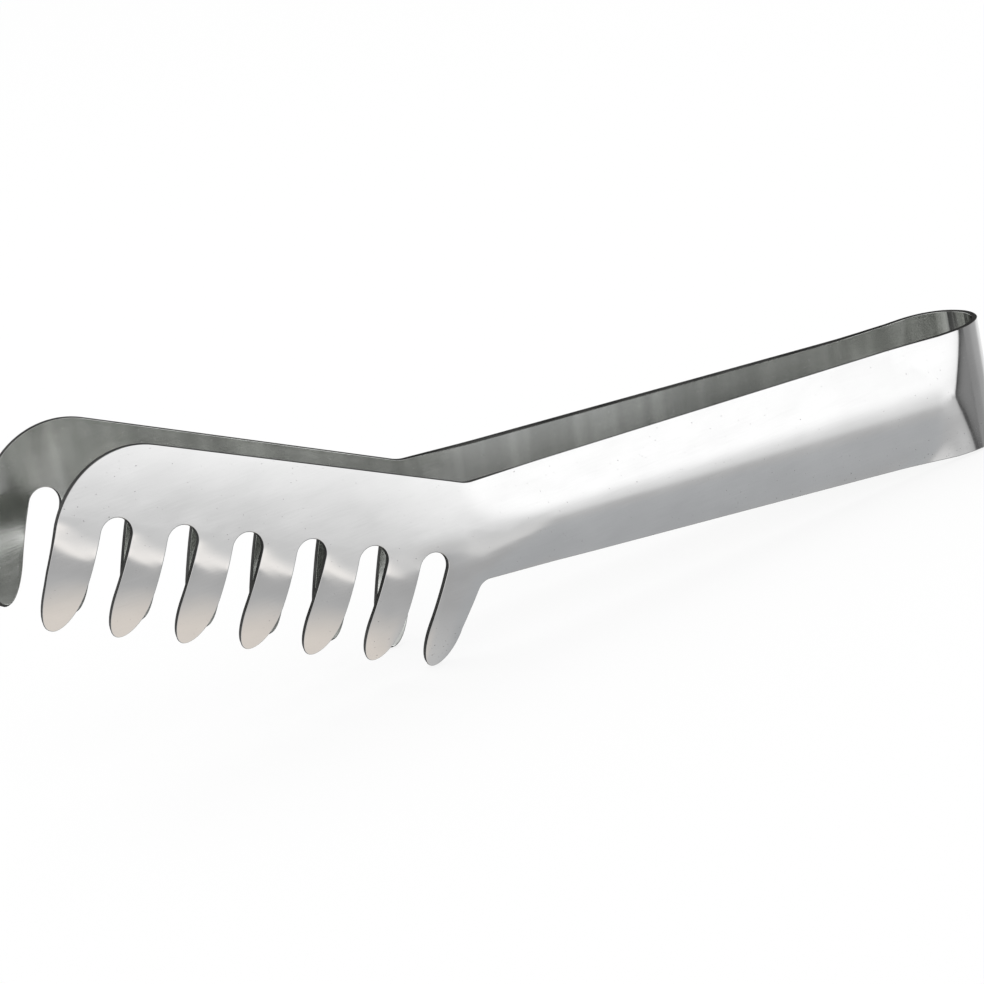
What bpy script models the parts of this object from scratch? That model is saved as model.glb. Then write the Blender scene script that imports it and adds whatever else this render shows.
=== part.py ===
"""Spaghetti tongs pressed from one band of spring steel.

A half-round bow joins two legs. Each leg is a handle with a shallow lengthwise ridge
and a comb with seven curled teeth. The tongs lie on the edge of the bow and on the
two heel teeth, with the bow at +X, the combs at -X and the bend's axis upright.

Lengths are metres. A leg is laid out in its own plane: u runs along it from the bow,
z is the height above the table. On the comb, s runs along the spine from the neck and
h runs down the teeth from the spine.
"""
import math

import bmesh
import bpy
from mathutils import Vector

# Sheet
SHEET = 0.0011
SEAM = 0.0003

# Bow
BOW_RADIUS = 0.0087
BAND_WIDTH = 0.0256
LEG_SPLAY = math.radians(2.4)
CROWN_HALF_ANGLE = math.radians(45)
SHOULDER_END = 0.006

# Handle
HANDLE_LENGTH = 0.1162
HANDLE_SEAM = 0.106
NECK_WIDTH = 0.0192
NECK_CORNER_RADIUS = 0.006
RIDGE_DEPTH = 0.0016
RIDGE_RUN_OUT = 0.012
RIDGE_FADE_START = 0.094
RIDGE_FADE_END = 0.122

# Comb
SPINE_ANGLE = math.radians(25)
SPINE_LENGTH = 0.0803
FAR_CORNER_RADIUS = 0.016
TOOTH_REACH = 0.035
TOOTH_PITCH = 0.013
SLOT_COUNT = 6
FIRST_SLOT = 0.0037
SLOT_WIDTH = 0.006
SLOT_TOP = 0.0133
TIP_START = 0.027
FAR_TIP_START = 0.0245
FAR_TIP_OFFSET = 0.0011
HEEL_ROOT_WIDTH = 0.0083
HEEL_ROOT_FILLET = 0.0025
CURL_START = 0.014
CURL_RADIUS = 0.0397

# Facets
ARC_STEP = math.radians(15)
BOW_STEP = math.radians(7.5)
CURL_BANDS = 6
RIDGE_STRIPS = 8
RUN_OUT_BANDS = 8
HANDLE_BANDS = 3
FADE_BANDS = 8

STEEL_COLOUR = (0.60, 0.60, 0.59, 1.0)
STEEL_ROUGHNESS = 0.28

TOOTH_WIDTH = TOOTH_PITCH - SLOT_WIDTH
BOW_QUARTER = BOW_RADIUS * (math.pi / 2 - LEG_SPLAY)
CROWN_EDGE = BOW_RADIUS * CROWN_HALF_ANGLE - BOW_QUARTER
FRONT = -1
REAR = 1


def slot_centre(index):
    """Distance along the spine of a slot's centre line, counted from the neck."""
    return FIRST_SLOT + TOOTH_PITCH * index


def tip_curve(far_s, near_s, tip_s, far_start, near_start):
    """A tooth's rounded end in (s, h), from its far edge over the tip to its near edge."""
    steps = round(math.pi / 2 / ARC_STEP)
    points = []
    for i in range(steps + 1):
        angle = math.pi / 2 * i / steps
        points.append((tip_s + (far_s - tip_s) * math.cos(angle),
                       far_start + (TOOTH_REACH - far_start) * math.sin(angle)))
    for i in range(1, steps + 1):
        angle = math.pi / 2 * i / steps
        points.append((tip_s + (near_s - tip_s) * math.sin(angle),
                       near_start + (TOOTH_REACH - near_start) * math.cos(angle)))
    return points


def slot_arc(index):
    """A slot's round top in (s, h), from its far edge to its near edge."""
    radius = SLOT_WIDTH / 2
    steps = round(math.pi / ARC_STEP)
    return [(slot_centre(index) + radius * math.cos(math.pi * i / steps),
             SLOT_TOP + radius - radius * math.sin(math.pi * i / steps)) for i in range(steps + 1)]


def heel_tip():
    """The rounded end of the heel tooth, which stands on the table."""
    far_s = slot_centre(0) - SLOT_WIDTH / 2
    near_s = far_s - TOOTH_WIDTH
    return tip_curve(far_s, near_s, (far_s + near_s) / 2, TIP_START, TIP_START)


def neck_height():
    """Height of the neck's corner that brings the heel tooth's tip down to the table."""
    return -min(s * math.sin(SPINE_ANGLE) - h * math.cos(SPINE_ANGLE) for s, h in heel_tip())


NECK_HEIGHT = neck_height()
TOP_RISE = (NECK_HEIGHT - BAND_WIDTH) / HANDLE_LENGTH
BOTTOM_RISE = (NECK_HEIGHT - NECK_WIDTH) / HANDLE_LENGTH


def top_edge(u):
    return BAND_WIDTH + TOP_RISE * max(u, 0)


def bottom_edge(u):
    return BOTTOM_RISE * max(u, 0)


def comb_to_leg(s, h):
    """A point of the comb in the leg's own (u, z)."""
    return Vector((HANDLE_LENGTH + s * math.cos(SPINE_ANGLE) + h * math.sin(SPINE_ANGLE),
                   NECK_HEIGHT + s * math.sin(SPINE_ANGLE) - h * math.cos(SPINE_ANGLE)))


def below_spine(u, z):
    """The comb's h for a point of the leg."""
    return (u - HANDLE_LENGTH) * math.sin(SPINE_ANGLE) - (z - NECK_HEIGHT) * math.cos(SPINE_ANGLE)


def smooth(value):
    """Zero below 0, one above 1, and a soft step between."""
    value = min(max(value, 0), 1)
    return value * value * (3 - 2 * value)


def ridge(u, z):
    """Inward shift of the sheet by the ridge: edges in, middle out, flat at both ends."""
    fade = smooth(u / RIDGE_RUN_OUT)
    fade *= 1 - smooth((u - RIDGE_FADE_START) / (RIDGE_FADE_END - RIDGE_FADE_START))
    middle = (top_edge(u) + bottom_edge(u)) / 2
    across = abs(z - middle) / (top_edge(u) - middle)
    bend = across ** 2 if across < 1 else 2 - (2 - min(across, 2)) ** 2
    return fade * RIDGE_DEPTH * (bend - 0.5)


def curl(u, z):
    """Inward shift of the sheet by the teeth's curl, a circular bend below the slots' tops."""
    depth = max(below_spine(u, z) - CURL_START, 0)
    return CURL_RADIUS - math.sqrt(CURL_RADIUS ** 2 - depth ** 2)


def shift(u, z):
    return ridge(u, z) + curl(u, z)


def band_line(u):
    """Point and inward direction on the outer face, seen from above, of the front leg."""
    if u >= 0:
        point = Vector((BOW_RADIUS * math.sin(LEG_SPLAY) - u * math.cos(LEG_SPLAY),
                        -BOW_RADIUS * math.cos(LEG_SPLAY) - u * math.sin(LEG_SPLAY), 0))
        return point, Vector((-math.sin(LEG_SPLAY), math.cos(LEG_SPLAY), 0))
    angle = LEG_SPLAY - math.pi / 2 - u / BOW_RADIUS
    outward = Vector((math.cos(angle), math.sin(angle), 0))
    return BOW_RADIUS * outward, -outward


def sheet_point(u, z, depth, side):
    """A point of the sheet at a depth below its outer face, on the front or rear leg."""
    point, inward = band_line(u)
    along = Vector((-inward.y, inward.x, 0))
    probe = SHEET / 20
    slope_u = (shift(u + probe, z) - shift(u - probe, z)) / (2 * probe)
    slope_z = (shift(u, z + probe) - shift(u, z - probe)) / (2 * probe)
    normal = (inward - along * slope_u - Vector((0, 0, slope_z))).normalized()
    place = point + inward * shift(u, z) + Vector((0, 0, z)) + normal * depth
    if side == REAR:
        place.y = -place.y
    return place


def rounded_corner(before, corner, after, radius):
    """Arc that rounds a corner between two straight edges."""
    to_before = (before - corner).normalized()
    to_after = (after - corner).normalized()
    half = to_before.angle(to_after) / 2
    centre = corner + (to_before + to_after).normalized() * radius / math.sin(half)
    start = corner + to_before * radius / math.tan(half) - centre
    end = corner + to_after * radius / math.tan(half) - centre
    steps = max(2, math.ceil(start.angle(end) / ARC_STEP))
    return [centre + start.slerp(end, i / steps).normalized() * radius for i in range(steps + 1)]


def line_meeting(a, b, c, d):
    """Where the line through a and b meets the line through c and d."""
    ab = b - a
    cd = d - c
    share = (c - a).cross(cd) / ab.cross(cd)
    return a + ab * share


def comb_outline():
    """The comb's outline in (u, z), from the seam's top over the spine and back to its foot."""
    start = HANDLE_SEAM + SEAM / 2
    neck = comb_to_leg(0, 0)
    corner = comb_to_leg(SPINE_LENGTH, 0)
    seam_top = Vector((start, top_edge(start)))
    seam_foot = Vector((start, bottom_edge(start)))
    outline = [seam_top]
    outline += rounded_corner(seam_top, neck, corner, NECK_CORNER_RADIUS)
    outline += rounded_corner(neck, corner, comb_to_leg(SPINE_LENGTH, TOOTH_REACH), FAR_CORNER_RADIUS)
    for index in reversed(range(SLOT_COUNT)):
        far_s = slot_centre(index) + TOOTH_PITCH - SLOT_WIDTH / 2
        near_s = slot_centre(index) + SLOT_WIDTH / 2
        if index == SLOT_COUNT - 1:
            tip_s = (SPINE_LENGTH + near_s) / 2 - FAR_TIP_OFFSET
            tip = tip_curve(SPINE_LENGTH, near_s, tip_s, FAR_TIP_START, TIP_START)
        else:
            tip = tip_curve(far_s, near_s, (far_s + near_s) / 2, TIP_START, TIP_START)
        outline += [comb_to_leg(s, h) for s, h in tip + slot_arc(index)]
    heel = heel_tip()
    outline += [comb_to_leg(s, h) for s, h in heel]
    root = comb_to_leg(heel[0][0] - HEEL_ROOT_WIDTH, SLOT_TOP + SLOT_WIDTH / 2)
    crotch = line_meeting(outline[-1], root, Vector((0, 0)), seam_foot)
    outline += rounded_corner(outline[-1], crotch, seam_foot, HEEL_ROOT_FILLET)
    outline.append(seam_foot)
    return outline


def band_outline(start, end):
    """A plain stretch of the band in (u, z)."""
    return [Vector((start, top_edge(start))), Vector((end, top_edge(end))),
            Vector((end, bottom_edge(end))), Vector((start, bottom_edge(start)))]


def cut(bm, point, direction, limit=math.inf):
    """Divide the flat sheet's faces along a line, where they lie below a limit in u."""
    faces = [f for f in bm.faces if f.calc_center_median().x < limit]
    geom = faces + list({e for f in faces for e in f.edges}) + list({v for f in faces for v in f.verts})
    across = Vector((direction[1], -direction[0], 0))
    bmesh.ops.bisect_plane(bm, geom=geom, dist=SHEET / 1000, plane_co=(point[0], point[1], 0),
                           plane_no=across)


def cut_across(bm, stations):
    for u in stations:
        cut(bm, (u, 0), (0, 1))


def ridge_stations():
    """Places along a leg where the sheet's faces end, close together where the ridge fades."""
    stations = [0] + spread(0, RIDGE_RUN_OUT, RUN_OUT_BANDS) + [RIDGE_RUN_OUT]
    stations += spread(RIDGE_RUN_OUT, RIDGE_FADE_START, HANDLE_BANDS) + [RIDGE_FADE_START]
    return stations + spread(RIDGE_FADE_START, RIDGE_FADE_END, FADE_BANDS) + [RIDGE_FADE_END]


def cut_ridge(bm, limit):
    """Lengthwise cuts that let the sheet follow the ridge's round section."""
    for i in range(1, RIDGE_STRIPS):
        share = i / RIDGE_STRIPS
        foot = bottom_edge(0) * (1 - share) + top_edge(0) * share
        rise = BOTTOM_RISE * (1 - share) + TOP_RISE * share
        cut(bm, (0, foot), (1, rise), limit)


def steel(name):
    material = bpy.data.materials.new(name + "_steel")
    material.use_nodes = True
    shader = material.node_tree.nodes["Principled BSDF"]
    shader.inputs["Base Color"].default_value = STEEL_COLOUR
    shader.inputs["Metallic"].default_value = 1.0
    shader.inputs["Roughness"].default_value = STEEL_ROUGHNESS
    return material


def sheet_object(name, bm, side, parent):
    """Bend the flat sheet to shape, give it its thickness and hang it on its parent."""
    divided = bmesh.ops.triangulate(bm, faces=bm.faces)
    bmesh.ops.beautify_fill(bm, faces=divided["faces"], edges=divided["edges"], method='ANGLE')
    flat = list(bm.verts)
    raised = bmesh.ops.extrude_face_region(bm, geom=list(bm.faces))["geom"]
    inner = [v for v in raised if isinstance(v, bmesh.types.BMVert)]
    for verts, depth in ((flat, 0), (inner, SHEET)):
        for vert in verts:
            vert.co = sheet_point(vert.co.x, vert.co.y, depth, side) - parent.location
    bmesh.ops.triangulate(bm, faces=bm.faces)
    bmesh.ops.recalc_face_normals(bm, faces=bm.faces)
    mesh = bpy.data.meshes.new(name)
    bm.to_mesh(mesh)
    bm.free()
    mesh.shade_smooth()
    mesh.set_sharp_from_angle(angle=math.radians(30))
    mesh.materials.append(steel(name))
    obj = bpy.data.objects.new(name, mesh)
    bpy.context.collection.objects.link(obj)
    obj.parent = parent
    return obj


def flat_sheet(outline):
    bm = bmesh.new()
    bm.faces.new([bm.verts.new((u, z, 0)) for u, z in outline])
    return bm


def spread(start, end, count):
    """Evenly spaced stations between two ends, without the ends."""
    return [start + (end - start) * i / count for i in range(1, count)]


def crown(parent):
    """The middle of the bow."""
    start = CROWN_EDGE - SEAM / 2
    end = -2 * BOW_QUARTER - start
    bm = flat_sheet(band_outline(start, end))
    cut_across(bm, spread(start, end, math.ceil((start - end) / BOW_RADIUS / BOW_STEP)))
    return sheet_object("bow_crown", bm, FRONT, parent)


def shoulder(name, side, parent):
    """The side of the bow and the run-out of the handle's ridge."""
    start = CROWN_EDGE + SEAM / 2
    bm = flat_sheet(band_outline(start, SHOULDER_END - SEAM / 2))
    cut_across(bm, spread(start, 0, math.ceil(-start / BOW_RADIUS / BOW_STEP)) + ridge_stations())
    cut_ridge(bm, math.inf)
    return sheet_object(name + "_bow_shoulder", bm, side, parent)


def handle(name, side, parent):
    """The long grip, with its ridge."""
    bm = flat_sheet(band_outline(SHOULDER_END + SEAM / 2, HANDLE_SEAM - SEAM / 2))
    cut_across(bm, ridge_stations())
    cut_ridge(bm, math.inf)
    return sheet_object(name + "_handle", bm, side, parent)


def comb(name, side, parent):
    """The neck and the toothed comb."""
    bm = flat_sheet(comb_outline())
    along = comb_to_leg(1, 0) - comb_to_leg(0, 0)
    for depth in [CURL_START] + spread(CURL_START, TOOTH_REACH, CURL_BANDS):
        cut(bm, comb_to_leg(0, depth), along)
    cut_across(bm, ridge_stations())
    cut_ridge(bm, RIDGE_FADE_END)
    return sheet_object(name + "_comb", bm, side, parent)


def marker(name, location):
    empty = bpy.data.objects.new(name, None)
    empty.location = location
    bpy.context.collection.objects.link(empty)
    return empty


def leg_axis(side):
    """The upright line in the middle of the sheet where a leg flexes against the crown."""
    return sheet_point(CROWN_EDGE, 0, SHEET / 2, side)


def centre_on_origin(parents, objects):
    """Move the parents so that the whole part is centred along X."""
    reach = [o.parent.location.x + v.co.x for o in objects for v in o.data.vertices]
    middle = (min(reach) + max(reach)) / 2
    for parent in parents:
        parent.location.x -= middle


def build():
    for obj in list(bpy.data.objects):
        bpy.data.objects.remove(obj)
    bow = marker("bow_centre", (0, 0, 0))
    parents = [bow]
    objects = [crown(bow)]
    for name, side in (("front", FRONT), ("rear", REAR)):
        axis = marker(name + "_leg_axis", leg_axis(side))
        parents.append(axis)
        objects += [shoulder(name, side, axis), handle(name, side, axis), comb(name, side, axis)]
    centre_on_origin(parents, objects)
    bpy.context.view_layer.update()


build()
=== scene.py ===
import math

import bmesh
import bpy
from mathutils import Matrix, Vector


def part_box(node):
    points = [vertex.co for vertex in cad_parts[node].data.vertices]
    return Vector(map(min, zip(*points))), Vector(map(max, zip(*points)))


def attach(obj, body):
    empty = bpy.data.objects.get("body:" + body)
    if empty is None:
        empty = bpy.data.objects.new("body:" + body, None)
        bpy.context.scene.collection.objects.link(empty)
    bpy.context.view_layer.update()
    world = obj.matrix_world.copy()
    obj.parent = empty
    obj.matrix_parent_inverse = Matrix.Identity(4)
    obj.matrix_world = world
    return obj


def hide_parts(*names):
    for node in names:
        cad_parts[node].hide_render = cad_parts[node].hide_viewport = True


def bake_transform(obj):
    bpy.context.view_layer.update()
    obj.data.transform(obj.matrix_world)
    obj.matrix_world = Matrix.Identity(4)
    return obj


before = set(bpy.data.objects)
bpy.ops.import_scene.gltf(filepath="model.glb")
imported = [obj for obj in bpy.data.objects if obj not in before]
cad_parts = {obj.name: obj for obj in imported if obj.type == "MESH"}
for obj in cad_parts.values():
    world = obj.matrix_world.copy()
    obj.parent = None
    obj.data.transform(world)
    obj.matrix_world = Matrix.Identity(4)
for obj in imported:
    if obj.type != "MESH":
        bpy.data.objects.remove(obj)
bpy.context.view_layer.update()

# Sheet, in metres. A leg is laid out in its own plane: u runs along it from the bow and z is
# the height. On the comb, s runs along the spine from the neck and h down the teeth.
SHEET = 0.0011
RIM_ROUND = 0.0002
SAME_PLACE = 1e-6
FRONT = -1
REAR = 1
OUTER, SHEARED, INNER = range(3)

# Bow
BOW_RADIUS = 0.0087
BAND_WIDTH = 0.0256
LEG_SPLAY = math.radians(2.4)
BOW_SPLIT = math.radians(20)
BOW_QUARTER = BOW_RADIUS * (math.pi / 2 - LEG_SPLAY)
MIDDLE_EDGE = BOW_RADIUS * BOW_SPLIT - BOW_QUARTER
BEND_END = -0.001
SHOULDER_END = 0.006

# Handle and its ridge
HANDLE_LENGTH = 0.1162
HANDLE_SEAM = 0.106
FINE_CUTS_END = 0.014
BAND_STRIPS = 30
RIDGE_DEPTH = 0.0016
RIDGE_FADE_START = 0.099
RIDGE_FADE_END = 0.119
CREASE_EDGE = 0.0013
CREASE_HEEL = 0.0020
CREASE_POINT = 0.0051
CREASE_FADE_END = -0.0045
CREASE_ROUND = 0.0004
CREASE_PROUD = 0.0009
CREASE_EDGE_PROUD = 0.00048
FLARE_START = 0.009
EDGE_FLARE_START = 0.020
ROUND_REACH = 0.002

# Neck
NECK_WIDTH = 0.0192
NECK_CORNER_RADIUS = 0.006
NECK_TWIST = 0.022
NECK_TWIST_LENGTH = 0.024

# Comb
SPINE_ANGLE = math.radians(25)
SPINE_LENGTH = 0.0803
FAR_CORNER_RADIUS = 0.016
PLATE_TILT = 0.011
PLATE_TILT_FADE = 0.005
TOOTH_REACH = 0.035
TOOTH_PITCH = 0.013
TOOTH_WIDTH = 0.007
TOOTH_CROWN = 0.00006
SLOT_COUNT = 6
SLOT_WIDTH = 0.006
SLOT_TOP = 0.0133
FIRST_SLOT = 0.0037
HEEL_SIDE = FIRST_SLOT - SLOT_WIDTH / 2 - TOOTH_WIDTH
HEEL_MIDDLE = HEEL_SIDE + TOOTH_WIDTH / 2
HEEL_ROOT_WIDTH = 0.0083
HEEL_ROOT_FILLET = 0.0025
FAR_TOOTH_SIDE = HEEL_SIDE + TOOTH_PITCH * SLOT_COUNT
FAR_TIP_OFFSET = 0.0011
FAR_TIP = (FAR_TOOTH_SIDE + SPINE_LENGTH) / 2 - FAR_TIP_OFFSET
FAR_TOOTH_MIDDLE = SPINE_LENGTH - 0.0043
FAR_TOOTH_DRAW = 0.0009
TIP_START = 0.027
FAR_TIP_START = 0.0245
CURL_START = 0.014
HEEL_CURL_START = 0.008
CURL_DEPTH = 0.006
CURL_SKEW = 0.35
HEEL_SKEW_SHARE = -0.3

BOW_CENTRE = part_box("bow_crown")[1][0] - BOW_RADIUS


def heel_depth():
    """How far the oval tip of the heel tooth reaches below the neck."""
    depths = []
    for i in range(13):
        angle = math.pi * i / 12
        s = HEEL_MIDDLE + TOOTH_WIDTH / 2 * math.cos(angle)
        h = TIP_START + (TOOTH_REACH - TIP_START) * math.sin(angle)
        depths.append(h * math.cos(SPINE_ANGLE) - s * math.sin(SPINE_ANGLE))
    return max(depths)


NECK_HEIGHT = heel_depth()
TOP_RISE = (NECK_HEIGHT - BAND_WIDTH) / HANDLE_LENGTH
BOTTOM_RISE = (NECK_HEIGHT - NECK_WIDTH) / HANDLE_LENGTH


def top_edge(u):
    return BAND_WIDTH + TOP_RISE * max(u, 0)


def bottom_edge(u):
    return BOTTOM_RISE * max(u, 0)


def spine_place(u, z):
    """A point of the leg in the comb's own (s, h)."""
    du = u - HANDLE_LENGTH
    dz = z - NECK_HEIGHT
    return (du * math.cos(SPINE_ANGLE) + dz * math.sin(SPINE_ANGLE),
            du * math.sin(SPINE_ANGLE) - dz * math.cos(SPINE_ANGLE))


def eased(value, start, end):
    """Smoothly from 0 at the start to 1 at the end, whichever is the greater."""
    share = min(max((value - start) / (end - start), 0), 1)
    return share * share * (3 - 2 * share)


# Pressing: how far each point of the sheet moves inwards

def crease(offset):
    """Where the ridge ends at the bow, in a shallow pointed crease. The offset from the middle
    runs from -1 at the lower edge to 1 at the upper."""
    edge = CREASE_EDGE if offset > 0 else CREASE_HEEL
    return edge + (CREASE_POINT - edge) * max(1 - abs(offset), 0) ** 1.3


def run_out(u, offset, handle):
    """The ridge's end: it stands a little proud at the crease and fades into the round bow."""
    across = min(abs(offset), 1)
    start = FLARE_START + (EDGE_FLARE_START - FLARE_START) * across ** 2
    if u > start:
        return handle
    end = crease(offset)
    proud = CREASE_PROUD + (CREASE_EDGE_PROUD - CREASE_PROUD) * across
    if u < end:
        left = max((u - CREASE_FADE_END) / (end - CREASE_FADE_END), 0)
        return -proud * left * left * (2.1 - 1.1 * left)
    share = eased(u, start, end)
    return handle * (1 - share) - proud * share


def ridge(u, z):
    """Edges in and middle out, with the crease at the bow rounded more towards the lower edge."""
    if u > RIDGE_FADE_END or u < CREASE_FADE_END - ROUND_REACH:
        return 0
    middle = (top_edge(u) + bottom_edge(u)) / 2
    offset = (z - middle) / (top_edge(u) - middle)
    across = abs(offset)
    bend = across ** 2 if across < 1 else 2 - (2 - min(across, 2)) ** 2
    inward = eased(u, RIDGE_FADE_END, RIDGE_FADE_START) * RIDGE_DEPTH * (bend - 0.5)
    if u > EDGE_FLARE_START + ROUND_REACH:
        return inward
    rounding = CREASE_ROUND * (1 + 1.6 * eased(offset, 0, -0.5))
    return sum(run_out(u + rounding * i / 2, offset, inward) for i in range(-2, 3)) / 5


def tooth_middle(s):
    """Distance from the middle line of the nearest tooth."""
    index = min(max(round((s - HEEL_MIDDLE) / TOOTH_PITCH), 0), SLOT_COUNT)
    return s - HEEL_MIDDLE - index * TOOTH_PITCH


def curl(s, h):
    """The teeth curl inwards, each on a bend line that is a little askew to the spine. Towards
    the heel the bend starts higher, is gentler and is a little askew the other way. The tips
    stay in one line."""
    start = CURL_START + (HEEL_CURL_START - CURL_START) * eased(s, 0.016, -0.003)
    radius = ((TOOTH_REACH - start) ** 2 + CURL_DEPTH ** 2) / (2 * CURL_DEPTH)
    skew = CURL_SKEW * eased(h, SLOT_TOP, SLOT_TOP + 0.004) * (1 - 0.7 * eased(h, 0.021, 0.033))
    skew *= 1 + (HEEL_SKEW_SHARE - 1) * eased(s, 0.006, -0.002)
    depth = max(h + skew * tooth_middle(s) - start, 0)
    return radius - math.sqrt(radius ** 2 - depth ** 2)


def crown(s, h):
    """Each tooth is a little rounded across its outer face."""
    across = tooth_middle(s) / (TOOTH_WIDTH / 2)
    return eased(h, SLOT_TOP, SLOT_TOP + 0.012) * TOOTH_CROWN * min(across * across, 2)


def plate_bow(h):
    """The plate above the teeth is very slightly rounded from the spine down."""
    middle = SLOT_TOP / 2
    if h < SLOT_TOP:
        return PLATE_TILT * ((max(h, 0) - middle) ** 2 - middle ** 2) / (2 * middle)
    past = min((h - SLOT_TOP) / PLATE_TILT_FADE, 1)
    return PLATE_TILT * PLATE_TILT_FADE * (past - past * past / 2)


def pressed(u, z):
    inward = ridge(u, z)
    if u > RIDGE_FADE_START:
        s, h = spine_place(u, z)
        entry = eased(u, RIDGE_FADE_START, HANDLE_LENGTH)
        inward += curl(s, h) + crown(s, h) + plate_bow(h) * entry
        twist = NECK_TWIST * entry * eased(s, NECK_TWIST_LENGTH, 0)
        inward -= twist * SLOT_TOP * (1 - math.exp(-max(h, 0) / SLOT_TOP))
    return inward


def band_line(u):
    """Point and inward direction on the front leg's outer face, seen from above."""
    if u >= 0:
        point = Vector((BOW_RADIUS * math.sin(LEG_SPLAY) - u * math.cos(LEG_SPLAY),
                        -BOW_RADIUS * math.cos(LEG_SPLAY) - u * math.sin(LEG_SPLAY), 0))
        return point, Vector((-math.sin(LEG_SPLAY), math.cos(LEG_SPLAY), 0))
    angle = LEG_SPLAY - math.pi / 2 - u / BOW_RADIUS
    outward = Vector((math.cos(angle), math.sin(angle), 0))
    return BOW_RADIUS * outward, -outward


def bent(u, z, depth, facing):
    """Place and normal on the finished front leg of a point and a normal of the flat blank."""
    point, inward = band_line(u)
    probe = SHEET / 20
    slope_u = (pressed(u + probe, z) - pressed(u - probe, z)) / (2 * probe)
    slope_z = (pressed(u, z + probe) - pressed(u, z - probe)) / (2 * probe)
    along = Vector((-inward.y, inward.x, 0))
    through = (inward - along * slope_u - Vector((0, 0, slope_z))).normalized()
    place = point + inward * pressed(u, z) + Vector((0, 0, z)) + through * depth
    place.x += BOW_CENTRE
    along_sheet = (along + inward * slope_u).normalized()
    up_sheet = (Vector((0, 0, 1)) + inward * slope_z).normalized()
    sideways = (up_sheet * facing.x - along_sheet * facing.y).cross(through)
    if sideways.dot(along_sheet * facing.x + up_sheet * facing.y) < 0:
        sideways.negate()
    normal = through * facing.z
    if sideways.length > 0:
        normal += sideways.normalized() * math.hypot(facing.x, facing.y)
    return place, normal.normalized()


# Blanks

def blank(corners):
    """A flat plate from its corner points and their roundings."""
    bm = bmesh.new()
    verts = [bm.verts.new((x, y, 0)) for x, y, rounding in corners]
    bm.faces.new(verts)
    for vert, (x, y, rounding) in zip(verts, corners):
        if rounding:
            bmesh.ops.bevel(bm, geom=[vert], offset=rounding, offset_type='OFFSET',
                            segments=max(12, round(rounding / 0.0007)), profile=0.5,
                            affect='VERTICES', clamp_overlap=False, material=-1)
    bmesh.ops.remove_doubles(bm, verts=bm.verts, dist=SAME_PLACE)
    return bm


def thicken(bm, seams):
    """Give the plate its thickness and softened rims. The rims along the seams stay sharp, so
    that the next piece meets them face to face."""
    raised = bmesh.ops.extrude_face_region(bm, geom=list(bm.faces))["geom"]
    bmesh.ops.translate(bm, verts=[v for v in raised if isinstance(v, bmesh.types.BMVert)],
                        vec=(0, 0, SHEET))
    bmesh.ops.recalc_face_normals(bm, faces=bm.faces)
    rim = [e for e in bm.edges if abs(e.verts[0].co.z - e.verts[1].co.z) < SHEET / 2
           and not on_seam(e.verts, seams)]
    bmesh.ops.bevel(bm, geom=rim, offset=RIM_ROUND, offset_type='OFFSET', segments=3, profile=0.5,
                    affect='EDGES', clamp_overlap=False, material=-1)


def on_seam(verts, seams):
    return any(all(abs(v.co.x - u) < SAME_PLACE for v in verts) for u in seams)


def cut(bm, point, direction, start=-math.inf, end=math.inf):
    """Divide the plate along a line, between two places in u."""
    faces = [f for f in bm.faces if start < f.calc_center_median().x < end]
    edges = list(dict.fromkeys(e for f in faces for e in f.edges))
    verts = list(dict.fromkeys(v for f in faces for v in f.verts))
    bmesh.ops.bisect_plane(bm, geom=faces + edges + verts, dist=1e-7,
                           plane_co=(point[0], point[1], 0),
                           plane_no=(direction[1], -direction[0], 0))


def cut_across(bm, start, end, count):
    for i in range(1, count):
        cut(bm, (start + (end - start) * i / count, 0), (0, 1))


def cut_lengthwise(bm, strips, start=-math.inf, end=math.inf):
    for i in range(1, strips):
        share = i / strips
        foot = bottom_edge(0) * (1 - share) + top_edge(0) * share
        rise = BOTTOM_RISE * (1 - share) + TOP_RISE * share
        cut(bm, (0, foot), (1, rise), start, end)


def blank_normal(vert, seams):
    """The smooth normal of a point on the blank, flat on the faces and round at the rims."""
    if vert.co.z < SAME_PLACE:
        return Vector((0, 0, -1))
    if vert.co.z > SHEET - SAME_PLACE:
        return Vector((0, 0, 1))
    normal = vert.normal.copy()
    if on_seam([vert], seams):
        normal.x = 0
    if RIM_ROUND - SAME_PLACE < vert.co.z < SHEET - RIM_ROUND + SAME_PLACE:
        normal.z = 0
    return normal.normalized()


def press(name, bm, side, seams):
    """Press and bend the plate into shape, and give its faces their finishes."""
    bm.normal_update()
    bmesh.ops.triangulate(bm, faces=[f for f in bm.faces if len(f.verts) > 4],
                          quad_method='BEAUTY', ngon_method='BEAUTY')
    bm.normal_update()
    mark_finishes(bm, seams)
    normals = []
    for vert in bm.verts:
        place, normal = bent(vert.co.x, vert.co.y, vert.co.z, blank_normal(vert, seams))
        if side == REAR:
            place.y = -place.y
            normal.y = -normal.y
        vert.co = place
        normals.append(normal)
    if side == REAR:
        bmesh.ops.reverse_faces(bm, faces=bm.faces)
    bm.normal_update()
    if bm.calc_volume(signed=True) < 0:
        bmesh.ops.reverse_faces(bm, faces=bm.faces)
    mesh = bpy.data.meshes.new(name)
    bm.to_mesh(mesh)
    bm.free()
    mesh.shade_smooth()
    mesh.normals_split_custom_set_from_vertices(normals)
    piece = bpy.data.objects.new(name, mesh)
    bpy.context.collection.objects.link(piece)
    finishes = {OUTER: SATIN_STEEL, SHEARED: SHEARED_EDGE_WITH_PAINTED_SHADE, INNER: DULL_STEEL}
    for index in sorted(finishes):
        piece.data.materials.append(finishes[index])
    return piece


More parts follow.
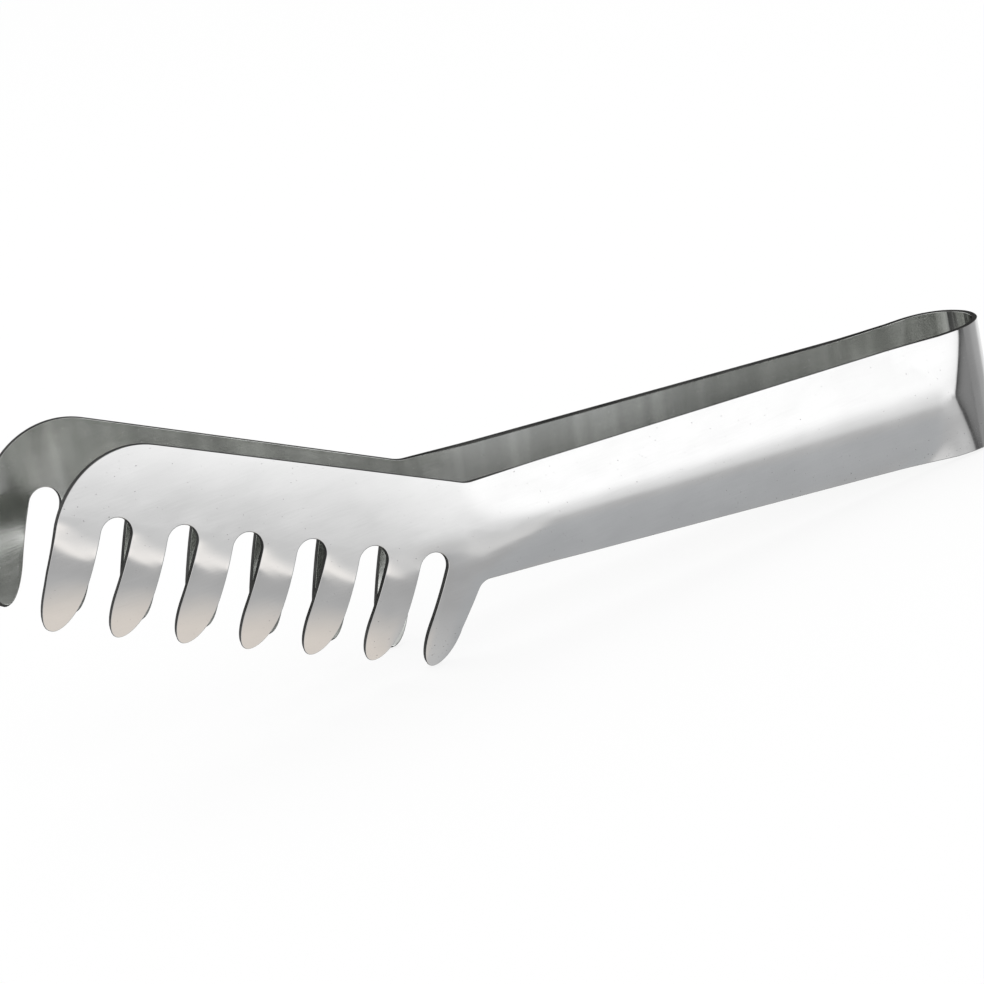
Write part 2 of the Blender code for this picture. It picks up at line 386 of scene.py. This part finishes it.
def mark_finishes(bm, seams):
    """Satin outside, sheared and painted dark at the rims, and dull with painted reflection
    streaks inside, with a flat map of the sheet and the places that handling wears: its rims,
    and the inner sides of the teeth and of the bow."""
    worn = bm.verts.layers.float.new("worn")
    rubbed = bm.verts.layers.float.new("rubbed")
    sheet_map = bm.loops.layers.uv.new("sheet")
    for vert in bm.verts:
        s, h = spine_place(vert.co.x, vert.co.y)
        on_teeth = eased(h, SLOT_TOP - 0.003, SLOT_TOP + 0.004) if s > -0.01 else 0
        vert[rubbed] = max(on_teeth, eased(vert.co.x, 0, -0.010))
        on_rim = any(abs(f.normal.z) < 0.98 for f in vert.link_faces)
        vert[worn] = 1 if on_rim and not on_seam([vert], seams) else 0
    for face in bm.faces:
        inside = face.normal.z > 0
        at_rim = abs(face.normal.z) < 0.8
        face.material_index = SHEARED if at_rim else INNER if inside else OUTER
        for loop in face.loops:
            co = loop.vert.co
            loop[sheet_map].uv = (co.x * 10 + 3, (co.y + co.z) * 10 + (1 if inside else 0))


def band_blank(start, end):
    bm = blank([(start, top_edge(start), 0), (end, top_edge(end), 0),
                (end, bottom_edge(end), 0), (start, bottom_edge(start), 0)])
    if start < 0 < end:
        cut(bm, (0, 0), (0, 1))
    thicken(bm, (start, end))
    return bm


def bow_middle():
    end = -2 * BOW_QUARTER - MIDDLE_EDGE
    bm = band_blank(end, MIDDLE_EDGE)
    cut_across(bm, end, MIDDLE_EDGE, 16)
    return press("bow_middle", bm, FRONT, (end, MIDDLE_EDGE))


def bow_side(name, side):
    bm = band_blank(MIDDLE_EDGE, SHOULDER_END)
    for u in (CREASE_FADE_END, CREASE_EDGE):
        cut(bm, (u, 0), (0, 1))
    cut_across(bm, MIDDLE_EDGE, CREASE_FADE_END, 12)
    cut_across(bm, CREASE_FADE_END, CREASE_EDGE, 20)
    cut_across(bm, CREASE_EDGE, SHOULDER_END, 10)
    cut_lengthwise(bm, BAND_STRIPS)
    follow_crease(bm)
    return press(name + "_bow_side", bm, side, (MIDDLE_EDGE, SHOULDER_END))


def follow_crease(bm):
    """Slide the upright rows of points, so that one of them runs along the crease."""
    for vert in bm.verts:
        u = vert.co.x
        offset = 2 * vert.co.y / BAND_WIDTH - 1
        start = CREASE_FADE_END if u < CREASE_EDGE else SHOULDER_END
        share = max((u - start) / (CREASE_EDGE - start), 0)
        vert.co.x += share * (crease(offset) - CREASE_EDGE)


def grip(name, side):
    bm = band_blank(SHOULDER_END, HANDLE_SEAM)
    cut_across(bm, SHOULDER_END, FINE_CUTS_END, 12)
    cut_across(bm, FINE_CUTS_END, RIDGE_FADE_START, 20)
    cut_across(bm, RIDGE_FADE_START, HANDLE_SEAM, 12)
    cut_lengthwise(bm, BAND_STRIPS)
    return press(name + "_grip", bm, side, (SHOULDER_END, HANDLE_SEAM))


def comb_corners():
    """The comb's corner points in (s, -h), each with the rounding that the shears give it."""
    start = spine_place(HANDLE_SEAM, top_edge(HANDLE_SEAM))
    foot = spine_place(HANDLE_SEAM, bottom_edge(HANDLE_SEAM))
    turn = (SPINE_ANGLE - math.atan(TOP_RISE)) / 2
    corners = [(start[0], -start[1], 0),
               (0, 0, NECK_CORNER_RADIUS * math.tan(turn)),
               (SPINE_LENGTH, 0, FAR_CORNER_RADIUS)]
    for index in reversed(range(SLOT_COUNT + 1)):
        near = HEEL_SIDE + TOOTH_PITCH * index
        far = SPINE_LENGTH if index == SLOT_COUNT else near + TOOTH_WIDTH
        tip = FAR_TIP if index == SLOT_COUNT else (near + far) / 2
        corners.append((far, -TOOTH_REACH, far - tip))
        corners.append((near, -TOOTH_REACH, tip - near))
        if index:
            corners.append((near, -SLOT_TOP, SLOT_WIDTH / 2))
            corners.append((near - SLOT_WIDTH, -SLOT_TOP, SLOT_WIDTH / 2))
    heel_side = Vector((HEEL_SIDE, -TIP_START))
    root = Vector((HEEL_SIDE + TOOTH_WIDTH - HEEL_ROOT_WIDTH, -SLOT_TOP - SLOT_WIDTH / 2))
    seam_foot = Vector((foot[0], -foot[1]))
    neck_foot = spine_place(0, 0)
    crotch = meeting(heel_side, root, Vector((neck_foot[0], -neck_foot[1])), seam_foot)
    opening = (heel_side - crotch).angle(seam_foot - crotch)
    corners.append((heel_side.x, heel_side.y, 0))
    corners.append((crotch.x, crotch.y, HEEL_ROOT_FILLET / math.tan(opening / 2)))
    corners.append((seam_foot.x, seam_foot.y, 0))
    return corners


def meeting(a, b, c, d):
    """Where the line from a to b meets the line from c to d."""
    share = (c - a).cross(d - c) / (b - a).cross(d - c)
    return a + (b - a) * share


def draw_out_tips(bm):
    """The half-round ends of the teeth are drawn out into long oval tips."""
    line = Matrix.Translation((0, TOOTH_REACH, 0))
    lowest = -TOOTH_REACH + SAME_PLACE
    long_ends = [v for v in bm.verts
                 if v.co.x > FAR_TIP and v.co.y < lowest + SPINE_LENGTH - FAR_TIP]
    short_ends = [v for v in bm.verts
                  if FAR_TOOTH_SIDE - SAME_PLACE < v.co.x <= FAR_TIP + SAME_PLACE
                  and v not in long_ends and v.co.y < lowest + FAR_TIP - FAR_TOOTH_SIDE]
    others = [v for v in bm.verts
              if v.co.x < FAR_TOOTH_SIDE - SAME_PLACE and v.co.y < lowest + TOOTH_WIDTH / 2]
    reach = TOOTH_REACH - TIP_START
    for verts, stretch in ((long_ends, (TOOTH_REACH - FAR_TIP_START) / (SPINE_LENGTH - FAR_TIP)),
                           (short_ends, reach / (FAR_TIP - FAR_TOOTH_SIDE)),
                           (others, reach / (TOOTH_WIDTH / 2))):
        bmesh.ops.scale(bm, vec=(1, stretch, 1), verts=verts, space=line)


def narrow_far_tooth(bm):
    """The tooth at the far end is drawn in a little on its outer side."""
    for vert in bm.verts:
        if vert.co.x > FAR_TOOTH_MIDDLE:
            outwards = (vert.co.x - FAR_TOOTH_MIDDLE) / (SPINE_LENGTH - FAR_TOOTH_MIDDLE)
            vert.co.x -= FAR_TOOTH_DRAW * eased(-vert.co.y, 0.018, 0.028) * outwards


def comb(name, side):
    """A jaw, cut in rows and columns of a millimetre so that the sheet can bend."""
    bm = blank(comb_corners())
    draw_out_tips(bm)
    narrow_far_tooth(bm)
    bmesh.ops.rotate(bm, verts=bm.verts, cent=(0, 0, 0),
                     matrix=Matrix.Rotation(SPINE_ANGLE, 3, 'Z'))
    bmesh.ops.translate(bm, verts=bm.verts, vec=(HANDLE_LENGTH, NECK_HEIGHT, 0))
    seams = (HANDLE_SEAM,)
    thicken(bm, seams)
    cos, sin = math.cos(SPINE_ANGLE), math.sin(SPINE_ANGLE)
    past_neck = HANDLE_LENGTH - 0.002
    for i in range(1, 36):
        h = 0.001 * i
        cut(bm, (HANDLE_LENGTH + h * sin, NECK_HEIGHT - h * cos), (cos, sin), start=past_neck)
    for i in range(-1, 88):
        s = HEEL_SIDE + TOOTH_PITCH * i / 13
        cut(bm, (HANDLE_LENGTH + s * cos, NECK_HEIGHT + s * sin), (sin, -cos), start=past_neck)
    cut_across(bm, HANDLE_SEAM, RIDGE_FADE_END, 16)
    cut_lengthwise(bm, 24, end=RIDGE_FADE_END)
    return press(name + "_fork", bm, side, seams)


# Nodes

def feed(tree, socket, value):
    """Give a socket a number, a colour or the output of another node."""
    if isinstance(value, (int, float)):
        socket.default_value = value
    elif isinstance(value, tuple):
        socket.default_value = value if len(value) == len(socket.default_value) else value + (1,)
    else:
        tree.links.new(value, socket)


def worked(tree, operation, first, second=None):
    node = tree.nodes.new("ShaderNodeMath")
    node.operation = operation
    feed(tree, node.inputs[0], first)
    if second is not None:
        feed(tree, node.inputs[1], second)
    return node.outputs["Value"]


def product(tree, first, *others):
    for other in others:
        first = worked(tree, 'MULTIPLY', first, other)
    return first


def ranged(tree, value, source, target):
    node = tree.nodes.new("ShaderNodeMapRange")
    tree.links.new(value, node.inputs["Value"])
    for name, number in zip(("From Min", "From Max", "To Min", "To Max"), source + target):
        node.inputs[name].default_value = number
    return node.outputs["Result"]


def within(tree, value, rise, fall):
    """1 between a rise and a fall, and 0 outside them."""
    return product(tree, ranged(tree, value, rise, (0, 1)), ranged(tree, value, fall, (1, 0)))


def mixed(tree, share, first, second):
    node = tree.nodes.new("ShaderNodeMix")
    node.data_type = 'RGBA'
    tree.links.new(share, node.inputs["Factor"])
    feed(tree, node.inputs["A"], first)
    feed(tree, node.inputs["B"], second)
    return node.outputs["Result"]


def streaks(tree, place, scale, detail):
    """Noise stretched to a scale of its own in each direction."""
    stretch = tree.nodes.new("ShaderNodeMapping")
    stretch.inputs["Scale"].default_value = scale
    tree.links.new(place, stretch.inputs["Vector"])
    noise = tree.nodes.new("ShaderNodeTexNoise")
    noise.inputs["Scale"].default_value = 1.0
    noise.inputs["Detail"].default_value = detail
    tree.links.new(stretch.outputs["Vector"], noise.inputs["Vector"])
    return noise.outputs["Fac"]


def painted_mark(tree, name):
    node = tree.nodes.new("ShaderNodeAttribute")
    node.attribute_name = name
    return node.outputs["Fac"]


def relief(tree, shader, height, strength, distance):
    bump = tree.nodes.new("ShaderNodeBump")
    bump.inputs["Strength"].default_value = strength
    bump.inputs["Distance"].default_value = distance
    tree.links.new(height, bump.inputs["Height"])
    tree.links.new(bump.outputs["Normal"], shader.inputs["Normal"])


def metal(name):
    material = bpy.data.materials.new(name)
    material.use_nodes = True
    shader = material.node_tree.nodes["Principled BSDF"]
    shader.inputs["Metallic"].default_value = 1.0
    return material, material.node_tree, shader


# Finishes. The sheet's map runs along and across the strip, one unit to 0.1 m, and the marks
# on the cut walls are spaced per metre.
GRAIN = (16, 380, 1)
CLOUD = (9, 16, 1)
HAIRLINE = (11, 900, 1)
SPECK = (210, 210, 1)
PAINTED_REFLECTION_STREAK = (22, 1.2, 1)
SCORE = (5200, 5200, 700)
TEAR = (160, 160, 160)
NOISE_RANGE = (0.3, 0.7)


def rolled_steel(name, colour, roughness, spread, along_grain):
    """Rolled sheet: fine grain along the strip, slow patches, a few specks and hairline
    scratches, and rims that handling has polished. With a strong grain along the strip it
    also has a painted reflection in faint light and dark streaks across it, and the places
    that are rubbed in use are smoother."""
    material, tree, shader = metal(name)
    sheet_map = tree.nodes.new("ShaderNodeUVMap")
    sheet_map.uv_map = "sheet"
    flat = sheet_map.outputs["UV"]
    grain = streaks(tree, flat, GRAIN, 3.0)
    cloud = streaks(tree, flat, CLOUD, 2.0)
    hairline = ranged(tree, streaks(tree, flat, HAIRLINE, 0.0), (0.78, 0.86), (0, 1))
    place = tree.nodes.new("ShaderNodeSeparateXYZ")
    tree.links.new(tree.nodes.new("ShaderNodeTexCoord").outputs["Object"], place.inputs["Vector"])
    more_below = ranged(tree, place.outputs["Z"], (0.003, 0.012), (0.055, 0))
    speck = worked(tree, 'ADD', streaks(tree, flat, SPECK, 1.0), more_below)
    speck = ranged(tree, speck, (0.745, 0.775), (0, 1))

    tone = product(tree, ranged(tree, cloud, NOISE_RANGE, (0.955, 1.03)),
                   ranged(tree, grain, NOISE_RANGE, (0.985, 1.015)),
                   ranged(tree, speck, (0, 1), (1, 0.6)),
                   ranged(tree, hairline, (0, 1), (1, 0.95)))
    rough = ranged(tree, grain, NOISE_RANGE, (roughness - spread / 2, roughness + spread / 2))
    rough = worked(tree, 'ADD', rough, ranged(tree, cloud, NOISE_RANGE, (-0.015, 0.03)))
    rough = worked(tree, 'ADD', rough, product(tree, speck, 0.25))
    if along_grain:
        shader.inputs["Anisotropic"].default_value = along_grain
        shader.inputs["Anisotropic Rotation"].default_value = 0.25
        tangent = tree.nodes.new("ShaderNodeTangent")
        tangent.direction_type = 'UV_MAP'
        tangent.uv_map = "sheet"
        tree.links.new(tangent.outputs["Tangent"], shader.inputs["Tangent"])
        # Painted reflection: light and dark streaks across the strip, standing in for the
        # surroundings that the inner faces reflect.
        across = streaks(tree, flat, PAINTED_REFLECTION_STREAK, 1.0)
        tone = product(tree, tone, ranged(tree, across, (0.36, 0.64), (0.88, 1.17)))
        rough = worked(tree, 'SUBTRACT', rough, product(tree, painted_mark(tree, "rubbed"), 0.11))
    polish = product(tree, painted_mark(tree, "worn"), cloud, 0.06)
    tree.links.new(worked(tree, 'SUBTRACT', rough, polish), shader.inputs["Roughness"])

    painted = tree.nodes.new("ShaderNodeVectorMath")
    painted.operation = 'SCALE'
    painted.inputs[0].default_value = colour
    tree.links.new(tone, painted.inputs["Scale"])
    tree.links.new(painted.outputs["Vector"], shader.inputs["Base Color"])

    height = worked(tree, 'SUBTRACT', grain, product(tree, hairline, 0.25))
    relief(tree, shader, worked(tree, 'SUBTRACT', height, speck), 0.05, 0.00001)
    return material


def sheared_edge_with_painted_shade():
    """The sheet's cut wall: a torn face in lighter and darker patches, scored through the
    sheet. Its near-black steel is painted shade, so that the rims show as dark lines."""
    material, tree, shader = metal("sheared_edge_with_painted_shade")
    # Painted shade: the grey edge tint and the near-black colours below make every rim a dark
    # line.
    shader.inputs["Specular Tint"].default_value = (0.45, 0.45, 0.45, 1)
    place = tree.nodes.new("ShaderNodeTexCoord").outputs["Object"]
    scores = streaks(tree, place, SCORE, 2.0)
    tears = streaks(tree, place, TEAR, 1.0)
    tone = mixed(tree, ranged(tree, tears, (0.35, 0.65), (0, 1)),
                 (0.05, 0.05, 0.049), (0.09, 0.09, 0.088))
    tone = mixed(tree, ranged(tree, scores, (0.5, 0.7), (0, 0.5)), tone, (0.03, 0.03, 0.03))
    tree.links.new(tone, shader.inputs["Base Color"])
    tree.links.new(ranged(tree, scores, NOISE_RANGE, (0.36, 0.52)), shader.inputs["Roughness"])
    relief(tree, shader, scores, 0.4, 0.00002)
    return material


# Studio. What the steel shows of it is in rows of place, brightness and warmth. AROUND runs by
# bearing in degrees, with 0 towards -Y and 90 towards +X, and EDGE_STRIP by height above the
# table's edge. The others run by height in degrees.
FRONT_TONES = (
    (-90, 0.60, -0.02), (-42, 0.61, -0.02), (-32, 0.635, -0.02), (-27, 0.66, -0.02), (-24, 0.695),
    (-22.5, 0.735), (-22, 0.78), (-21.2, 0.94), (-20.4, 1.09), (-19.5, 1.14), (-18, 1.21),
    (-16.5, 1.31), (-15, 1.46), (-13.5, 1.60), (-11.5, 1.68), (13.5, 1.68), (17, 0.75), (22, 0.6),
    (32, 0.75), (45, 0.9), (90, 0.9))
COMB_SIDE_TONES = (
    (-90, 0.95), (-18, 0.955), (-17.2, 0.99), (-16.5, 1.07), (-15.6, 1.24), (-14.4, 1.45),
    (-12, 1.64), (-5, 1.64), (-2, 0.6), (1, 0.42), (14, 0.45), (25, 0.7), (45, 0.9), (90, 0.9))
TABLE_TONES = (
    (-90, 1.0, 0.08), (-62, 1.0, 0.08), (-56, 0.94, 0.07), (-51, 0.87, 0.05), (-46, 0.78, 0.03),
    (-41, 0.67), (-37, 0.63), (-30, 0.62), (0, 0.62))
HEEL_TABLE_TONES = (
    (-90, 0.85), (-57, 0.78), (-52, 0.73), (-49, 0.69), (-44, 0.63), (-39, 0.60), (-31, 0.585),
    (-28, 0.63), (0, 0.63))
EDGE_STRIP_TONES = (
    (-1, 0), (0, 0.3, 0.1), (0.5, 0.5, 0.1), (2.5, 0.46, 0.1), (4, 0.28, 0.1), (6, 0.10, 0.1),
    (8, 0))
AROUND_TONES = (
    (-180, 1.5), (-165, 1.45), (-140, 0.9), (-125, 0.75), (-104, 0.75), (-97, 0.10), (-81, 0.06),
    (-77, 0.38), (-66, 0.5), (-55, 0.8), (-30, 0.8), (10, 0.7), (12, 0.45), (30, 0.45),
    (44.5, 0.12), (50, 0.13), (51, 0.18), (52, 0.26), (53, 0.34), (55, 0.385), (66, 0.40),
    (74, 0.43), (82, 0.53), (92, 0.57), (105, 0.70), (120, 0.8), (137, 0.8), (146, 0.7),
    (154, 0.5), (169, 0.8), (173, 1.5), (180, 1.5))
LOW_GREY = (0.62, 0.62, 0.62)
HIGH_GREY = (0.9, 0.9, 0.9)
REAR_PANEL = (1.35, 1.35, 1.35)
REAR_GAP = (0.18, 0.18, 0.18)


def floor():
    bm = bmesh.new()
    bmesh.ops.create_grid(bm, x_segments=1, y_segments=1, size=4.0)
    mesh = bpy.data.meshes.new("floor")
    bm.to_mesh(mesh)
    bm.free()
    obj = bpy.data.objects.new("floor", mesh)
    bpy.context.collection.objects.link(obj)
    material = bpy.data.materials.new("pale_floor")
    material.use_nodes = True
    tree = material.node_tree
    tree.nodes.remove(tree.nodes["Principled BSDF"])
    diffuse = tree.nodes.new("ShaderNodeBsdfDiffuse")
    diffuse.inputs["Color"].default_value = (0.85, 0.85, 0.85, 1)
    white = tree.nodes.new("ShaderNodeEmission")
    white.inputs["Color"].default_value = (1, 1, 1, 1)
    white.inputs["Strength"].default_value = 1.0
    path = tree.nodes.new("ShaderNodeLightPath")
    shown = worked(tree, 'MAXIMUM', path.outputs["Is Camera Ray"], mirrored(tree, path))
    mix = tree.nodes.new("ShaderNodeMixShader")
    tree.links.new(product(tree, shown, 0.85), mix.inputs["Fac"])
    tree.links.new(diffuse.outputs["BSDF"], mix.inputs[1])
    tree.links.new(white.outputs["Emission"], mix.inputs[2])
    tree.links.new(mix.outputs["Shader"], tree.nodes["Material Output"].inputs["Surface"])
    mesh.materials.append(material)
    obj.visible_glossy = False


def mirrored(tree, path):
    """1 for what a reflection or a glass shows."""
    return worked(tree, 'MAXIMUM', path.outputs["Is Glossy Ray"],
                  path.outputs["Is Transmission Ray"])


def ramp(tree, value, tones):
    """A tone for each place along a run."""
    low, high = tones[0][0], tones[-1][0]
    node = tree.nodes.new("ShaderNodeValToRGB")
    stops = node.color_ramp.elements
    while len(stops) < len(tones):
        stops.new(0.5)
    for stop, row in zip(stops, tones):
        stop.position = (row[0] - low) / (high - low)
    for stop, row in zip(stops, tones):
        warmth = row[2] if len(row) > 2 else 0
        stop.color = (row[1] * (1 + warmth), row[1], row[1] * (1 - warmth), 1)
    tree.links.new(ranged(tree, value, (low, high), (0, 1)), node.inputs["Fac"])
    return node.outputs["Color"]


def leaning_ramp(tree, height, bearing, turn, lean, tones):
    """A ramp by height whose tones shift by the lean over a turn in bearing."""
    return ramp(tree, worked(tree, 'ADD', height, ranged(tree, bearing, turn, lean)), tones)


def studio_ahead(tree, bearing, height):
    """A broad panel over a grey table, which has a bright strip along its edge. The handle shows
    the right side of it and the comb the left."""
    front = leaning_ramp(tree, height, bearing, (34.5, 42.5), (0, -3.2), FRONT_TONES)
    comb_side = leaning_ramp(tree, height, bearing, (25.5, 31.5), (0, 1.8), COMB_SIDE_TONES)
    table_edge = worked(tree, 'ADD', ranged(tree, bearing, (14, 17), (-31.6, -29.9)),
                        ranged(tree, bearing, (23.5, 28), (0, 4.4)))
    over_edge = worked(tree, 'SUBTRACT', height, table_edge)
    strip = mixed(tree, ranged(tree, bearing, (20, 25), (1, 0.15)), (0, 0, 0),
                  ramp(tree, over_edge, EDGE_STRIP_TONES))
    lit = tree.nodes.new("ShaderNodeVectorMath")
    tree.links.new(comb_side, lit.inputs[0])
    tree.links.new(strip, lit.inputs[1])
    table = leaning_ramp(tree, height, bearing, (9, 16), (0, 4), TABLE_TONES)
    table = mixed(tree, ranged(tree, bearing, (20.5, 23.5), (0, 1)), table,
                  ramp(tree, height, HEEL_TABLE_TONES))
    comb_side = mixed(tree, ranged(tree, over_edge, (-0.7, 0.4), (0, 1)), table,
                      lit.outputs["Vector"])
    beside = worked(tree, 'ADD', bearing, ranged(tree, height, (-16, -9), (0, 4)))
    return mixed(tree, ranged(tree, beside, (29, 31), (0, 1)), comb_side, front)


def studio_around(tree, bearing, height):
    """The sides and the back: panels and darker gaps, a grey table and a pale ceiling."""
    around = ramp(tree, bearing, AROUND_TONES)
    around = mixed(tree, ranged(tree, height, (-32, -22), (1, 0)), around, LOW_GREY)
    rear_panel = product(tree, within(tree, bearing, (98, 108), (146, 152)),
                         ranged(tree, height, (-21, -12), (0, 1)))
    around = mixed(tree, rear_panel, around, REAR_PANEL)
    around = mixed(tree, ranged(tree, height, (25, 50), (0, 1)), around, HIGH_GREY)
    rear_gap = product(tree, within(tree, bearing, (128, 136), (150, 157)),
                       ranged(tree, height, (2, 8), (0, 1)))
    return mixed(tree, rear_gap, around, REAR_GAP)


def studio_world():
    """A white studio, plain to the camera and to matt surfaces. The steel shows its panels, its
    table and the gaps between them."""
    world = bpy.data.worlds.new("studio")
    bpy.context.scene.world = world
    world.use_nodes = True
    tree = world.node_tree
    plain = tree.nodes["Background"]
    plain.inputs["Color"].default_value = (1, 1, 1, 1)
    plain.inputs["Strength"].default_value = 1.0
    direction = tree.nodes.new("ShaderNodeTexCoord").outputs["Generated"]
    parts = tree.nodes.new("ShaderNodeSeparateXYZ")
    tree.links.new(direction, parts.inputs["Vector"])
    x, y, z = (parts.outputs[axis] for axis in "XYZ")
    degree = 180 / math.pi
    height = product(tree, worked(tree, 'ARCSINE', z), degree)
    bearing = product(tree, worked(tree, 'ARCTAN2', x, product(tree, y, -1)), degree)

    gap = product(tree, within(tree, bearing, (9, 11), (17, 21)),
                  ranged(tree, height, (-22, -19), (0, 1)))
    left_side = worked(tree, 'SUBTRACT', ranged(tree, bearing, (-24, -14), (0, 1)), gap)
    right_side = worked(tree, 'ADD', bearing, ranged(tree, height, (-11, -7), (0, 3)))
    in_front = product(tree, ranged(tree, right_side, (42.5, 46), (1, 0)), left_side)
    shown = tree.nodes.new("ShaderNodeBackground")
    tree.links.new(mixed(tree, in_front, studio_around(tree, bearing, height),
                         studio_ahead(tree, bearing, height)), shown.inputs["Color"])

    mix = tree.nodes.new("ShaderNodeMixShader")
    tree.links.new(mirrored(tree, tree.nodes.new("ShaderNodeLightPath")), mix.inputs["Fac"])
    tree.links.new(plain.outputs["Background"], mix.inputs[1])
    tree.links.new(shown.outputs["Background"], mix.inputs[2])
    tree.links.new(mix.outputs["Shader"], tree.nodes["World Output"].inputs["Surface"])


def softbox(name, place, target, size, radiance):
    light = bpy.data.lights.new(name, 'AREA')
    light.shape = 'SQUARE'
    light.size = size
    light.energy = radiance * math.pi * size * size
    obj = bpy.data.objects.new(name, light)
    obj.location = place
    obj.rotation_euler = (Vector(target) - Vector(place)).to_track_quat('-Z', 'Y').to_euler()
    obj.visible_camera = False
    bpy.context.collection.objects.link(obj)


# Camera
AZIMUTH = math.radians(-26.637)
ELEVATION = math.radians(17.301)
ROLL = math.radians(-12.043)
EYE_RIGHT = -0.090761
EYE_UP = -0.021678
EYE_BACK = 0.716633
AIM_HEIGHT = 0.012757
SENSOR_WIDTH = 36
FOCAL_LENGTH = 130.61


def camera():
    """Long lens at the photograph's angle."""
    back = Vector((math.sin(AZIMUTH) * math.cos(ELEVATION),
                   -math.cos(AZIMUTH) * math.cos(ELEVATION), math.sin(ELEVATION)))
    right = Vector((math.cos(AZIMUTH), math.sin(AZIMUTH), 0))
    up = back.cross(right)
    right, up = (right * math.cos(ROLL) + up * math.sin(ROLL),
                 up * math.cos(ROLL) - right * math.sin(ROLL))
    aim = Vector((BOW_CENTRE, 0, AIM_HEIGHT))
    eye = right * EYE_RIGHT + up * EYE_UP + back * EYE_BACK + aim
    data = bpy.data.cameras.new("camera")
    data.sensor_width = SENSOR_WIDTH
    data.lens = FOCAL_LENGTH
    obj = bpy.data.objects.new("camera", data)
    obj.matrix_world = Matrix.Translation(eye) @ Matrix((right, up, back)).transposed().to_4x4()
    bpy.context.collection.objects.link(obj)
    bpy.context.scene.camera = obj


SATIN_STEEL = rolled_steel("satin_steel", (0.60, 0.60, 0.60), 0.095, 0.02, 0)
DULL_STEEL = rolled_steel("dull_inner_steel", (0.595, 0.605, 0.585), 0.205, 0.03, 0.95)
SHEARED_EDGE_WITH_PAINTED_SHADE = sheared_edge_with_painted_shade()

middle = bow_middle()
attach(middle, "crown")
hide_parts("bow_crown")
for name, side in (("front", FRONT), ("rear", REAR)):
    bow = bow_side(name, side)
    inner = bent(MIDDLE_EDGE, BAND_WIDTH / 2, SHEET / 2, Vector((0, 0, 1)))[0]
    outer = bent(BEND_END, BAND_WIDTH / 2, SHEET / 2, Vector((0, 0, 1)))[0]
    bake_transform(bow)
    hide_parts(name + "_bow_shoulder")
    handle = grip(name, side)
    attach(handle, name + "_leg")
    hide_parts(name + "_handle")
    fork = comb(name, side)
    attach(fork, name + "_leg")
    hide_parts(name + "_comb")

floor()
studio_world()
softbox("top_softbox", place=(-0.2, 0.25, 1.2), target=(0, 0, 0), size=1.0, radiance=1.2)
camera()
bpy.context.scene.view_settings.view_transform = 'Standard'
